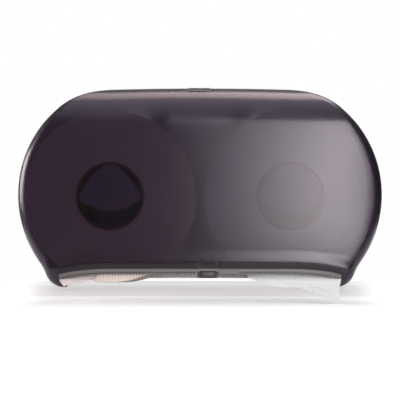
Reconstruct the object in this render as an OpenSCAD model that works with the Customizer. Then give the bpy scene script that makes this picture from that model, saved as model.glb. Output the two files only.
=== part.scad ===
// Twin jumbo toilet roll dispenser: a smoked cover hung on a wall plate over two 9 inch rolls.
// Millimetres. X runs to the right, -Y towards the user, +Z up. The wall is the plane y = 0.
// z = 0 is the height of the roll hubs, x = 0 the middle of the cover.

/* [Cover] */
// Radius of the two side arcs
side_r = 152.1; // [140:0.1:165]
// Distance of each side arc's centre from the middle
side_cx = 86.8; // [60:0.1:110]
// Distance of the flat front face from the wall
depth = 133; // [110:1:160]
// Height at which the flat face turns into the top curve
face_top = 91.7; // [60:0.1:110]
// Radius of the top curve, front to top
top_r = 69.2; // [40:0.1:90]
// Radius of the upper corners in the front view
corner_r = 121.8; // [60:0.1:140]
// Slope of the short straight between side arc and upper corner
corner_a = 39.1; // [30:0.1:50]
// Radius of the edge between face and sides
edge_r = 18.3; // [8:0.1:25]
// Wall thickness
wall = 3; // [2:0.1:5]
// Outward lean of the side walls from front to back
draft = 5; // [1:0.5:8]

/* [Cover foot] */
// Angle below the centre where the side arc ends
foot_arc_end = 35.5; // [30:0.5:45]
// Radius of the drawn-in neck above the foot
neck_r = 70; // [40:1:100]
// Slope of the side at the narrowest part of the neck
neck_a = 22.5; // [10:0.5:30]
// Straight between neck and foot
neck_len = 3; // [0:0.5:8]
// Radius of the rounded foot
foot_r = 25; // [15:1:35]
// Inner edge of each foot, from the middle
foot_in = 181.5; // [170:0.5:190]

/* [Lip and tear bars] */
// Height of the lip in the middle
lip_z = -96.8; // [-110:0.1:-80]
// Drop of the lip at the feet
lip_drop = 7.5; // [0:0.5:12]
// Distance from the middle where the lip starts to drop
lip_flat = 100; // [60:1:150]
// Forward swell of the front face above the lip
bead = 3; // [0:0.1:6]
// Height of the tear bar that shows below the lip
bar_show = 7.8; // [5:0.1:12]
// Thickness of the tear bars
bar_t = 2; // [1:0.1:4]
// Pitch of the teeth
tooth_pitch = 3.9; // [2:0.1:6]
// Height of the teeth
tooth_h = 2.1; // [1:0.1:4]
// Height of the tear bars above the lip, behind the cover
bar_up = 9; // [7:0.5:14]

/* [Wall plate] */
// Thickness of the plate
plate_t = 3; // [2:0.1:5]
// Lower edge of the plate
plate_low = -108; // [-115:1:-90]
// Upper edge of the plate
plate_high = 150; // [130:1:155]
// Wall screws, left to right
screw_dx = 300; // [200:5:340]
// Wall screws, up and down
screw_dz = 180; // [100:5:200]
// Radius of the wall screw holes
screw_r = 3; // [2:0.1:4]

/* [Rolls and hubs] */
// Distance of each hub from the middle
hub_x = 118.5; // [110:0.5:125]
// Distance of the hub fronts from the wall
hub_y = 120; // [100:1:125]
// Distance of the roll shoulders from the wall
shoulder_y = 28.7; // [10:0.1:40]
// Outer radius of a roll
roll_r = 113.5; // [80:0.5:115]
// Width of a roll
roll_w = 89; // [80:1:95]
// Inner radius of the card core
core_r = 42.5; // [36:0.5:45]
// Thickness of the card core
core_t = 2.5; // [1:0.1:4]
// Running gap over the hub's apex
core_gap = 0.3; // [0.1:0.1:1]

/* [Hinge] */
// Distance of the hinge rod from the wall
rod_y = 22; // [18:0.5:30]
// Height of the hinge rod
rod_z = 150; // [140:0.5:154]
// Radius of the hinge rod
rod_r = 2.5; // [2:0.1:4]
// Distance of the hinge brackets from the middle
bracket_x = 62; // [40:1:80]

/* [Lock] */
// Distance of the lock from the middle, to the right
lock_x = 10; // [-20:1:20]
// Width of the lock plate
lock_w = 26.2; // [20:0.1:34]
// Height of the lock plate
lock_h = 9.3; // [7:0.1:12]
// Height of the lock plate's centre
lock_z = -104; // [-110:0.1:-95]
// Distance between the two key holes
key_dx = 20.4; // [14:0.1:26]

/* [Output] */
// Sub-part to draw

/* [Hidden] */
$fn = 96;
e = 0.01;
face_y = -depth;
top_z = face_top + top_r;
rear_y = -plate_t - 1;
foot_xn = side_cx + (side_r + neck_r) * cos(foot_arc_end);
foot_zn = -(side_r + neck_r) * sin(foot_arc_end);
foot_x = foot_xn - neck_r * cos(neck_a) - neck_len * sin(neck_a) - foot_r * cos(neck_a);
foot_z = foot_zn + neck_r * sin(neck_a) - neck_len * cos(neck_a) + foot_r * sin(neck_a);
corner_zc = top_z - corner_r;
corner_x1 = side_cx + side_r * cos(corner_a);
corner_xc = corner_x1 - (corner_zc + corner_r * sin(corner_a) - side_r * sin(corner_a)) * tan(corner_a)
            - corner_r * cos(corner_a);
ear_r = 62;
roll_z = 41.2 + core_gap - core_r;
roll_back = -shoulder_y - core_gap;
bar_y = face_y + wall;
bar_gap0 = lock_x - lock_w / 2 - 0.4;
bar_gap1 = lock_x + lock_w / 2 + 0.4;
arm_end = bar_y + bar_t + 0.5;
plain_right = 50;

// ---------- outline of the cover ----------

// Half width of the outline above the face, t inwards
function upper_x(z, t) =
    z <= (side_r - t) * sin(corner_a) ? side_cx + sqrt((side_r - t) * (side_r - t) - z * z)
    : z <= corner_zc + (corner_r - t) * sin(corner_a)
        ? side_cx + (side_r - t) * cos(corner_a) - (z - (side_r - t) * sin(corner_a)) * tan(corner_a)
        : corner_xc + sqrt(max(0, (corner_r - t) * (corner_r - t) - (z - corner_zc) * (z - corner_zc)));

// Outline as [z, half width] from the foot to the top, t inwards
function outline(t) = concat(
    [for (i = [0:5]) let (a = 90 - (90 - neck_a) * i / 5)
        [foot_z - (foot_r - t) * sin(a), foot_x + (foot_r - t) * cos(a)]],
    [for (i = [0:3]) let (a = neck_a + (foot_arc_end - neck_a) * i / 4)
        [foot_zn + (neck_r + t) * sin(a), foot_xn - (neck_r + t) * cos(a)]],
    [for (i = [0:5]) let (a = -foot_arc_end + (foot_arc_end - 24) * i / 6)
        [(side_r - t) * sin(a), side_cx + (side_r - t) * cos(a)]],
    [for (i = [0:16]) let (a = -24 + (24 + asin(face_top / (side_r - t))) * i / 16)
        [(side_r - t) * sin(a), side_cx + (side_r - t) * cos(a)]],
    [for (i = [1:13]) let (z = face_top + (top_r - t) * sin(90 * i / 13)) [z, upper_x(z, t)]]
);

// Height of the lip, which drops towards the feet
function lip(x) = lip_z - lip_drop * pow(max(0, abs(x) - lip_flat) / (foot_in - lip_flat), 3);

// Forward swell of the face at a height s above the lip
function swell(s) = s < 0 ? max(0, 0.45 * (1 + s / 14))
    : s < 9 ? 0.45 + 0.55 * sin(10 * s)
    : s < 24 ? 0.5 + 0.5 * cos(12 * (s - 9)) : 0;

function front(z, t) = z <= face_top ? face_y + t
    : face_y + top_r - sqrt(max(0, (top_r - t) * (top_r - t) - (z - face_top) * (z - face_top)));

// Rear edge of the shell: it steps forward near the hinge, to clear the wall when it opens
function rear(z) = rear_y - 5 * min(1, max(0, (z - 136) / 10));

// Half section of the shell at one height, from the middle to the rear edge
function half_row(z, x, t) = let (r = edge_r - t, y = front(z, t)) concat(
    [for (i = [0:9]) let (u = (x - r) * i / 10) [u, y - bead * swell(z - lip(u)), z]],
    [for (i = [0:6]) let (a = 15 * i, u = x - r + r * sin(a))
        [u, y + r * (1 - cos(a)) - bead * swell(z - lip(u)) * cos(a), z]],
    [[x + draft, rear(z), z]]
);

function full_row(h) = concat([for (i = [len(h) - 1:-1:1]) [-h[i][0], h[i][1], h[i][2]]], h);

// ---------- cover ----------

module cover_shell() {
    o = outline(0);
    n = outline(wall);
    rows = len(o);
    outer = [for (p = o) each full_row(half_row(p[0], p[1], 0))];
    inner = [for (p = n) each full_row(half_row(p[0], p[1], wall))];
    c = len(outer) / rows;
    k = len(outer);
    skin = [for (i = [0:rows - 2], j = [0:c - 2]) each [
        [i * c + j, (i + 1) * c + j, i * c + j + 1],
        [i * c + j + 1, (i + 1) * c + j, (i + 1) * c + j + 1]]];
    lining = [for (f = skin) [f[0] + k, f[2] + k, f[1] + k]];
    left = [for (i = [0:rows - 2]) each [
        [i * c, k + i * c, (i + 1) * c], [(i + 1) * c, k + i * c, k + (i + 1) * c]]];
    right = [for (i = [0:rows - 2]) let (m = i * c + c - 1) each [
        [m, m + c, k + m], [m + c, k + m + c, k + m]]];
    under = [for (j = [0:c - 2]) each [[j, j + 1, k + j], [j + 1, k + j + 1, k + j]]];
    last = (rows - 1) * c;
    crown = [[for (j = [0:c - 1]) last + j]];
    ceiling = [[for (j = [c - 1:-1:0]) k + last + j]];
    back = [[last, last + c - 1, k + last + c - 1], [last, k + last + c - 1, k + last]];
    polyhedron(concat(outer, inner), concat(skin, lining, left, right, under, crown, ceiling, back));
}

// Opening under the lip, between the two feet
module mouth() {
    translate([0, 5, 0]) rotate([90, 0, 0]) linear_extrude(depth + 30)
        polygon(concat(
            [for (i = [-24:24]) let (x = foot_in * i / 24) [x, lip(x)]],
            [[foot_in, -160], [-foot_in, -160]]));
}

module front_cover() {
    color([0.2, 0.15, 0.19, 0.9]) difference() {
        cover_shell();
        mouth();
    }
}

// ---------- hinge ----------

module hinge_lugs() {
    color("#a9a5a8") for (s = [-1, 1], d = [-1, 1]) translate([s * bracket_x + d * 11.5, -rod_y, rod_z])
        difference() {
            union() {
                rotate([0, 90, 0]) cylinder(r = 6.2, h = 4, center = true);
                translate([-2, -6.2, 0]) cube([4, 12.4, top_z - wall - rod_z]);
                translate([d > 0 ? -2 : -6, -9, top_z - wall - rod_z - 2]) cube([8, 18, 2]);
            }
            rotate([0, 90, 0]) cylinder(r = rod_r + 0.05, h = 12, center = true);
        }
}

module hinge_bracket() {
    difference() {
        union() {
            translate([-12, -plate_t - 3, 106]) cube([24, 3, 28]);
            translate([-9, -rod_y - 5, 117]) cube([18, rod_y + 5 - plate_t - 3, 6]);
            translate([-9, -rod_y - 5, 117]) cube([18, 7, rod_z - 117]);
            for (s = [-1, 1]) translate([s * 7.5 - 1.5, -rod_y + 2, 123]) rotate([90, 0, 90])
                linear_extrude(3) polygon([[0, 0], [rod_y - 2 - plate_t - 3, 0], [0, 9]]);
            translate([0, -rod_y, rod_z]) rotate([0, 90, 0]) cylinder(r = 6.5, h = 18, center = true);
        }
        translate([0, -rod_y, rod_z]) rotate([0, 90, 0]) cylinder(r = rod_r, h = 30, center = true);
    }
}

module left_hinge_bracket() {
    color("#a9a5a8") translate([-bracket_x, 0, 0]) hinge_bracket();
}

module right_hinge_bracket() {
    color("#a9a5a8") translate([bracket_x, 0, 0]) hinge_bracket();
}

// Pan head with a cross slot, its seat at y = 0, facing the user
module screw_head(r, h) {
    difference() {
        rotate([90, 0, 0]) cylinder(r1 = r, r2 = r * 0.72, h = h);
        translate([-r * 0.6, -h - 1, -r * 0.12]) cube([r * 1.2, 1 + h * 0.5, r * 0.24]);
        translate([-r * 0.12, -h - 1, -r * 0.6]) cube([r * 0.24, 1 + h * 0.5, r * 1.2]);
    }
}

module bracket_screws() {
    color("#9a9a98") for (s = [-1, 1], z = [111.5, 128.5])
        translate([s * bracket_x, -plate_t - 3, z]) screw_head(3.6, 2.4);
}

module hinge_rod() {
    color("#b9bbbd") translate([0, -rod_y, rod_z]) rotate([0, 90, 0])
        cylinder(r = rod_r, h = 2 * (bracket_x + 20), center = true);
}

module rod_clips() {
    color("#8d8f92") for (s = [-1, 1]) translate([s * (bracket_x + 15.5), -rod_y, rod_z])
        rotate([0, 90, 0]) difference() {
            cylinder(r = 5, h = 1, center = true);
            cylinder(r = rod_r, h = 3, center = true);
            translate([1, -1.6, -2]) cube([6, 3.2, 4]);
        }
}

// ---------- wall plate ----------

// Plate outline in the plane of the wall, t inwards
function plate_points(t, low, high) = let (
    side = [for (p = outline(t)) if (p[0] > low && p[0] < high) [p[1] + draft, p[0]]],
    all = concat(
        [[lookup_x(t, low), low]],
        side,
        [[lookup_x(t, high), high]]))
    concat(all, [for (i = [len(all) - 1:-1:0]) [-all[i][0], all[i][1]]]);

// Half width at a height, read between the outline's points
function lookup_x(t, z) = lookup(z, [for (p = outline(t)) [p[0], p[1] + draft]]);

module upright(y0, y1) {
    translate([0, y1, 0]) rotate([90, 0, 0]) linear_extrude(y1 - y0) children();
}

module back_plate() {
    color("#b4b2b0") difference() {
        union() {
            upright(-plate_t, 0) polygon(plate_points(1, plate_low, plate_high));
            for (x = [-1, 1], z = [-1, 1]) translate([x * screw_dx / 2, -plate_t, z * screw_dz / 2])
                rotate([90, 0, 0]) cylinder(r = 9, h = 3);
        }
        for (x = [-1, 1], z = [-1, 1]) translate([x * screw_dx / 2, 1, z * screw_dz / 2])
            rotate([90, 0, 0]) cylinder(r = screw_r, h = 12);
    }
}

// Rib that runs round the plate inside the cover, low at the top where the cover swings past
module plate_rim() {
    color("#b4b2b0") difference() {
        upright(-plate_t - 6, -plate_t) polygon(plate_points(10, -102.5, 142));
        upright(-plate_t - 7, -plate_t + 1) polygon(plate_points(12.5, -100, 139.5));
        translate([lock_x - 14, -20, -110]) cube([28, 30, 30]);
        translate([-250, -plate_t - 27, 137]) cube([500, 25, 20]);
    }
}

// Ladder of ribs between the hubs, and the shelf along the lower edge
module plate_ribs() {
    color("#b4b2b0") {
        translate([-150, -plate_t - 9, plate_low]) cube([300, 9, 2.5]);
        for (s = [-1, 1]) translate([s * 42 - 1.2, -plate_t - 6, -100]) cube([2.4, 6, 200]);
        for (z = [-53.2, -1.2, 50.8, 97.6]) translate([-42, -plate_t - 6, z]) cube([84, 6, 2.4]);
    }
}

// ---------- hubs ----------

// Rounded triangle of the hub, apex up, t inwards
module hub_outline(t) {
    intersection() {
        translate([0, 0.3]) circle(r = 40.9 - t, $fn = 128);
        translate([0, 39.1]) circle(r = 60 - t, $fn = 128);
        translate([-45.2, -37]) circle(r = 93.3 - t, $fn = 128);
        translate([45.2, -37]) circle(r = 93.3 - t, $fn = 128);
    }
}

module hub_base() {
    difference() {
        union() {
            translate([0, -plate_t, 0]) rotate([90, 0, 0])
                cylinder(r1 = 56, r2 = 51, h = shoulder_y - plate_t);
            for (a = [90, 210, 330]) rotate([0, -a, 0]) {
                translate([ear_r, -plate_t, 0]) rotate([90, 0, 0]) cylinder(r = 6.5, h = 3);
                translate([50, -plate_t - 3, -6.5]) cube([ear_r - 50, 3, 13]);
            }
        }
        translate([0, -plate_t + 1, 0]) rotate([90, 0, 0])
            cylinder(r1 = 53.2, r2 = 48.2, h = shoulder_y - plate_t - 2);
    }
}

module hub_body() {
    difference() {
        upright(-hub_y, -shoulder_y) hub_outline(0);
        upright(-hub_y + 3, -shoulder_y + 1) hub_outline(3);
    }
    intersection() {
        upright(-hub_y + 2.9, -shoulder_y) hub_outline(2.9);
        union() {
            translate([-1, -hub_y, -50]) cube([2, hub_y - shoulder_y, 100]);
            translate([-50, -hub_y, 4]) cube([100, hub_y - shoulder_y, 2]);
        }
    }
}

module hub_screws() {
    for (a = [90, 210, 330]) translate([ear_r * cos(a), -plate_t - 3, ear_r * sin(a)]) screw_head(4, 2.6);
}

module left_hub_base() {
    color("#a59fa8") translate([-hub_x, 0, 0]) hub_base();
}

module right_hub_base() {
    color("#a59fa8") translate([hub_x, 0, 0]) hub_base();
}

module left_hub() {
    color("#aaa2ae") translate([-hub_x, 0, 0]) hub_body();
}

module right_hub() {
    color("#aaa2ae") translate([hub_x, 0, 0]) hub_body();
}

module left_hub_screws() {
    color("#9a9a98") translate([-hub_x, 0, 0]) hub_screws();
}

module right_hub_screws() {
    color("#9a9a98") translate([hub_x, 0, 0]) hub_screws();
}

// ---------- rolls ----------

module ring(r0, r1) {
    translate([0, roll_back, roll_z]) rotate([90, 0, 0]) difference() {
        cylinder(r = r1, h = roll_w);
        translate([0, 0, -1]) cylinder(r = r0, h = roll_w + 2);
    }
}

module left_core() {
    color("#a98d6c") translate([-hub_x, 0, 0]) ring(core_r, core_r + core_t);
}

module right_core() {
    color("#a98d6c") translate([hub_x, 0, 0]) ring(core_r, core_r + core_t);
}

module left_paper() {
    color("#efe6dd") translate([-hub_x, 0, 0]) ring(core_r + core_t, roll_r);
}

module right_paper() {
    color("#f1f1f0") translate([hub_x, 0, 0]) ring(core_r + core_t, roll_r);
}

// ---------- paper tails ----------

// Hanging sheet between a straight hidden top and a torn lower edge, with a slight billow
module tail(edge, top, t, lean) {
    n = 26;
    m = 6;
    x0 = edge[0][0];
    x1 = edge[len(edge) - 1][0];
    pts = [for (s = [0, 1], i = [0:n], j = [0:m]) let (
        x = x0 + (x1 - x0) * i / n,
        low = lookup(x, edge),
        z = top + (low - top) * j / m,
        y = -122.4 - lean * pow(j / m, 2) + 0.9 * sin((x - x0) * 5) * j / m)
        [x, y + s * t, z]];
    w = m + 1;
    k = (n + 1) * w;
    a = [for (i = [0:n - 1], j = [0:m - 1]) each [
        [i * w + j, (i + 1) * w + j, i * w + j + 1],
        [i * w + j + 1, (i + 1) * w + j, (i + 1) * w + j + 1]]];
    b = [for (f = a) [f[0] + k, f[2] + k, f[1] + k]];
    ends = [for (j = [0:m - 1]) each [
        [j, j + 1, k + j], [j + 1, k + j + 1, k + j],
        [n * w + j, k + n * w + j, n * w + j + 1], [n * w + j + 1, k + n * w + j, k + n * w + j + 1]]];
    rims = [for (i = [0:n - 1]) each [
        [i * w, k + i * w, (i + 1) * w], [(i + 1) * w, k + i * w, k + (i + 1) * w],
        [i * w + m, (i + 1) * w + m, k + i * w + m],
        [(i + 1) * w + m, k + (i + 1) * w + m, k + i * w + m]]];
    polyhedron(pts, concat(a, b, ends, rims));
}

module left_tail() {
    color("#e3d8d4") tail([
        [-180.6, -118], [-178.5, -119.6], [-173, -116.8], [-170, -124.6], [-166.4, -115.4],
        [-155, -114.8], [-145, -112.8], [-137, -108.4]], -100, 0.7, 1.2);
}

module right_tail() {
    color("#ececec") tail([
        [62, -107], [65, -109.5], [84.6, -117], [101, -119.8], [125, -120.9], [142, -125.9],
        [157.7, -133.2], [169.4, -138], [180.6, -138.9]], -100, 0.7, 1.5);
}

// ---------- tear bars ----------

// Bar from x0 to x1 with teeth from t0 to t1, hanging behind the lip
module tear_bar(x0, x1, t0, t1) {
    n = floor((t1 - t0) / tooth_pitch);
    teeth = [for (i = [0:n - 1]) let (x = t0 + tooth_pitch * i) each [
        [x, lip(x) - bar_show + tooth_h], [x + tooth_pitch / 2, lip(x + tooth_pitch / 2) - bar_show]]];
    plain = [for (i = [0:4]) let (x = t1 + (x1 - t1) * i / 4) [x, lip(x) - bar_show + tooth_h]];
    start = [for (i = [0:4]) let (x = x0 + (t0 - x0) * i / 5) [x, lip(x) - bar_show + tooth_h]];
    upper = [for (i = [24:-1:0]) let (x = x0 + (x1 - x0) * i / 24) [x, lip(x) + bar_up]];
    upright(bar_y, bar_y + bar_t) polygon(concat(t0 > x0 ? start : [], teeth, t1 < x1 ? plain : [], upper));
    rail(x0 + 1, x1 - 1);
}

// Ledge along the top of a bar that fills the swell of the cover's face and is bonded to it
module rail(x0, x1) {
    xs = [for (i = [0:24]) x0 + (x1 - x0) * i / 24];
    upright(bar_y - bead + 0.35, bar_y) polygon(concat(
        [for (x = xs) [x, lip(x) + bar_up - 2.5]],
        [for (i = [24:-1:0]) [xs[i], lip(xs[i]) + bar_up]]));
}

module left_tear_bar() {
    color("#5f5a59") tear_bar(-foot_in + 0.5, bar_gap0, -foot_in + 0.5, bar_gap0 - 1);
}

module right_tear_bar() {
    color("#5f5a59") tear_bar(bar_gap1, foot_in - 0.5, plain_right, foot_in - 0.6);
}

module bar_rivets() {
    color("#4a4446") for (x = [-150, -90, -30, 50, 100, 150])
        translate([x, bar_y + bar_t, lip(x) + 4.5]) rotate([-90, 0, 0]) cylinder(r1 = 3.2, r2 = 2.4, h = 1.6);
}

// ---------- lock ----------

module stadium(w, h) {
    square([w - h, h], center = true);
    for (s = [-1, 1]) translate([s * (w - h) / 2, 0]) circle(r = h / 2);
}

module lock_housing() {
    color("#2a272d") translate([lock_x, 0, 0]) difference() {
        union() {
            translate([0, 0, lock_z]) upright(face_y - 0.8, bar_y + bar_t) stadium(lock_w, lock_h);
            translate([0, 0, lock_z]) upright(face_y - 2.2, face_y) square([15.5, 6.2], center = true);
            translate([-8, bar_y, lock_z]) cube([16, bar_t, lip_z + bar_up - lock_z]);
            translate([-8, bar_y - bead + 0.35, lip_z + bar_up - 2.5]) cube([16, bead, 2.5]);
            translate([-19, bar_y + bar_t, -99.5]) cube([38, 2, 9]);
            translate([-14, bar_y + bar_t, lock_z - 4.4]) cube([28, 10.5, 12.9]);
        }
        for (s = [-1, 1]) translate([s * key_dx / 2, face_y - 5, lock_z]) rotate([-90, 0, 0])
            cylinder(r = 1.9, h = 12);
        translate([-4.4, bar_y + bar_t + 2.6, lock_z - 2.9]) cube([8.8, 4.8, 20]);
        translate([-12.6, bar_y + bar_t + 2.6, lock_z - 2.9]) cube([25.2, 3.2, 20]);
    }
}

// Low clip with two arches on the top curve of the cover
module top_clip() {
    color("#2a2c2a") translate([-1.6, face_y + top_r, face_top]) difference() {
        intersection() {
            union() {
                rotate([0, 90, 0]) cylinder(r = top_r + 0.5, h = 30, center = true);
                for (x = [-6, 10.7]) rotate([38, 0, 0]) translate([x, 0, top_r - 2.9]) rotate([90, 0, 0])
                    cylinder(r = 3.8, h = 8, center = true);
            }
            rotate([37, 0, 0]) translate([-15, -12, top_r - 6]) cube([30, 24, 12]);
        }
        rotate([0, 90, 0]) cylinder(r = top_r, h = 40, center = true);
    }
}

module lock_bolt() {
    color("#8f9092") translate([lock_x, 0, 0]) {
        translate([-4.1, bar_y + bar_t + 2.9, lock_z - 2.6]) cube([8.2, 4.2, 12.2]);
        translate([-12.2, bar_y + bar_t + 2.9, lock_z - 2.6]) cube([24.4, 2.6, 5.2]);
    }
}

module lock_arm() {
    color("#a9a5a8") translate([lock_x, 0, 0]) difference() {
        union() {
            translate([-12, -plate_t - 3, -104.5]) cube([24, 3, 30]);
            translate([-7, arm_end, -88]) cube([14, -arm_end - plate_t - 3, 13]);
            for (s = [-1, 1]) translate([s * 5 - 1, 0, 0]) rotate([90, 0, 90]) linear_extrude(2)
                polygon([[-plate_t - 3, -88], [-plate_t - 3, -103], [-30, -88]]);
        }
        translate([-4.7, bar_y + bar_t + 2.4, -89]) cube([9.4, 5.2, 8.5]);
        translate([-4.5, bar_y + 16, -89]) cube([9, depth - 50, 10]);
    }
}

module strike_plate() {
    color("#a7a9ab") translate([lock_x, 0, 0]) difference() {
        translate([-9, arm_end, -89.5]) cube([18, 15, 1.5]);
        translate([-4.5, bar_y + bar_t + 2.6, -91]) cube([9, 4.8, 4]);
    }
}

module arm_screws() {
    color("#9a9a98") for (s = [-1, 1]) translate([lock_x + s * 9.2, -plate_t - 3, -97]) screw_head(2.6, 2.2);
}

back_plate();
plate_rim();
plate_ribs();
left_hub_base();
right_hub_base();
left_hub();
right_hub();
left_hub_screws();
right_hub_screws();
left_hinge_bracket();
right_hinge_bracket();
bracket_screws();
hinge_rod();
rod_clips();
lock_arm();
arm_screws();
strike_plate();
left_tail();
right_tail();
front_cover();
hinge_lugs();
left_tear_bar();
right_tear_bar();
bar_rivets();
lock_housing();
top_clip();
lock_bolt();
left_core();
left_paper();
right_core();
right_paper();
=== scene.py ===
"""Twin jumbo toilet roll dispenser: smoked cover, toothed bars, lock, hubs, rolls and the wall plate behind them.

Metres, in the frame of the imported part: +X right, +Y into the wall, +Z up, z = 0 at the roll hubs.
"""

import math

import bmesh
import bpy
import numpy as np
from bpy.props import FloatProperty, FloatVectorProperty, IntProperty, PointerProperty
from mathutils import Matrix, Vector


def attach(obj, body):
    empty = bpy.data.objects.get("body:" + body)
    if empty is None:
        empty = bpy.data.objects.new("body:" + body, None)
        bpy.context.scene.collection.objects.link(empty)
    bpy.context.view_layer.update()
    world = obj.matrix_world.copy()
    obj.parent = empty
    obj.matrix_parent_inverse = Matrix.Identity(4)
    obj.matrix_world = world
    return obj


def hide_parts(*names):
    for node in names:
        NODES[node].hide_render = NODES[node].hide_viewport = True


bl_info = {
    "name": "Jumbo Roll Dispenser",
    "version": (1, 0, 0),
    "blender": (4, 5, 0),
    "location": "View3D > Sidebar > Dispenser",
    "description": "Builds the pieces and finishes of a twin jumbo roll dispenser around its packed part",
    "category": "Add Mesh",
}

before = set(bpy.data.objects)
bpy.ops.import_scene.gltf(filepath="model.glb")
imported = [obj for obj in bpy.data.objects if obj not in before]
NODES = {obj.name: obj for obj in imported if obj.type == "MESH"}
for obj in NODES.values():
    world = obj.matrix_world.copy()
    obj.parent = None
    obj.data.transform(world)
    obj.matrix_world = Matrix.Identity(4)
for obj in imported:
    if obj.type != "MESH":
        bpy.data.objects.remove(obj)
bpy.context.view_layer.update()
MM = 0.001


def linear(code):
    """sRGB hex code to linear RGB."""
    parts = [int(code[i : i + 2], 16) / 255 for i in (0, 2, 4)]
    return [c / 12.92 if c <= 0.04045 else ((c + 0.055) / 1.055) ** 2.4 for c in parts]


def size(name, description, default, low=0.0, high=1.0):
    """A length in metres."""
    return FloatProperty(name=name, description=description, default=default, min=low, max=high,
                         unit="LENGTH", precision=4)


def colour(name, description, code):
    """A colour from its sRGB hex code."""
    return FloatVectorProperty(name=name, description=description, default=linear(code),
                               subtype="COLOR", min=0, max=1)


# ---------- settings ----------


class CoverSettings(bpy.types.PropertyGroup):
    wall: size("Wall", "Thickness of the moulded cover", 0.003, 0.002, 0.005)
    edge: size("Edge radius", "Radius between the face and the sides", 0.0183, 0.008, 0.025)
    bead: size("Bead", "Forward swell of the face above the lip", 0.0016, 0, 0.006)
    crown: size("Crown", "Fall of the top line 114 mm from the middle", 0.0015, 0, 0.003)
    smoke: colour("Smoke", "Colour that white light has after one pass through the wall", "766b7c")
    satin: FloatProperty(name="Satin", description="Roughness of the moulded face", default=0.23, min=0.05, max=0.6,
                         subtype="FACTOR")


class BarSettings(bpy.types.PropertyGroup):
    pitch: size("Tooth pitch", "Distance from tooth to tooth", 0.0039, 0.002, 0.006)
    tooth: size("Tooth height", "Height of each tooth", 0.003, 0.001, 0.004)
    tint: colour("Smoke grey", "Colour of the tear bars", "777170")


class PaperSettings(bpy.types.PropertyGroup):
    white: colour("Right roll", "Colour of the right roll's tissue", "e3e3e3")
    warm: colour("Left roll", "Colour of the left roll's tissue", "f3e5da")
    # the loose ends are the rolls' own tissues in darker tones: painted shade
    right_end_shaded: colour("Right end", "Colour of the right roll's loose end", "d4d4d4")
    left_end_shaded: colour("Left end", "Colour of the left roll's loose end", "d5c9c8")
    card: colour("Core", "Colour of the card cores", "a98d6c")
    loose: size("Looseness", "Height of the uneven turns on the side of a roll", 0.00012, 0, 0.0005)
    seed: IntProperty(name="Seed", description="Seed of the uneven turns", default=9, min=0)


class UnitSettings(bpy.types.PropertyGroup):
    plate: colour("Plate", "Colour of the wall plate", "ebe9e7")
    hub: colour("Hubs", "Colour of the hubs, brackets and lock arm", "aca2ae")
    dark: colour("Lock", "Colour of the lock plate and the top clip", "29262b")
    steel: colour("Steel", "Colour of the zinc plated steel", "c6c8ca")
    screw: size("Screw head", "Radius of the larger screw heads", 0.004, 0.002, 0.006)
    rivet: size("Rivet head", "Radius of the rivet heads", 0.0032, 0.002, 0.005)


class StageSettings(bpy.types.PropertyGroup):
    floor: colour("Floor", "Colour of the floor", "e4e4e4")
    drop: size("Drop", "Height of the floor below the hubs", 0.142, 0.12, 0.3)
    # glow: the white that the camera sees inside the floor's painted shadow near the dispenser
    glow: FloatProperty(name="Glow", description="White that the camera sees on the floor near the dispenser",
                        default=0.24, min=0, max=1, subtype="FACTOR")


GROUPS = {"cover": CoverSettings, "bars": BarSettings, "paper": PaperSettings, "unit": UnitSettings,
          "stage": StageSettings}


# ---------- materials ----------


def add(tree, kind, inputs=None, **settings):
    """Adds a node with its settings, and gives its inputs values or links.

    A kind without "Node" in it is a shader node. A node given as an input stands for its first output in use.
    """
    node = tree.nodes.new(kind if "Node" in kind else "ShaderNode" + kind)
    for key, value in settings.items():
        setattr(node, key, value)
    for key, value in (inputs or {}).items():
        if isinstance(value, bpy.types.Node):
            value = next(socket for socket in value.outputs if socket.enabled)
        if isinstance(value, bpy.types.NodeSocket):
            tree.links.new(value, node.inputs[key])
        else:
            node.inputs[key].default_value = value
    return node


def finish(fill, *given, name=None):
    """The material that one of the functions below fills in, made only once."""
    name = name or fill.__name__
    made = bpy.data.materials.get(name)
    if not made:
        made = bpy.data.materials.new(name)
        made.use_nodes = True
        made.node_tree.nodes.clear()
        fill(made.node_tree, add(made.node_tree, "TexCoord").outputs["Object"], *given)
    return made


def tones(factor, rgb, low, high):
    """Inputs of a colour mix that runs from a darker to a lighter tone of a colour."""
    dark, light = ([min(1, c * k) for c in rgb] + [1] for k in (low, high))
    return {0: factor, 6: dark, 7: light}


def surface(tree, relief, strength, depth, inputs):
    """Ends a material with a Principled shader of those inputs, over a relief of that depth in metres."""
    bump = add(tree, "Bump", {"Height": relief, "Strength": strength, "Distance": depth})
    shader = add(tree, "BsdfPrincipled", {"Normal": bump, **inputs})
    add(tree, "OutputMaterial", {"Surface": shader})


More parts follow.
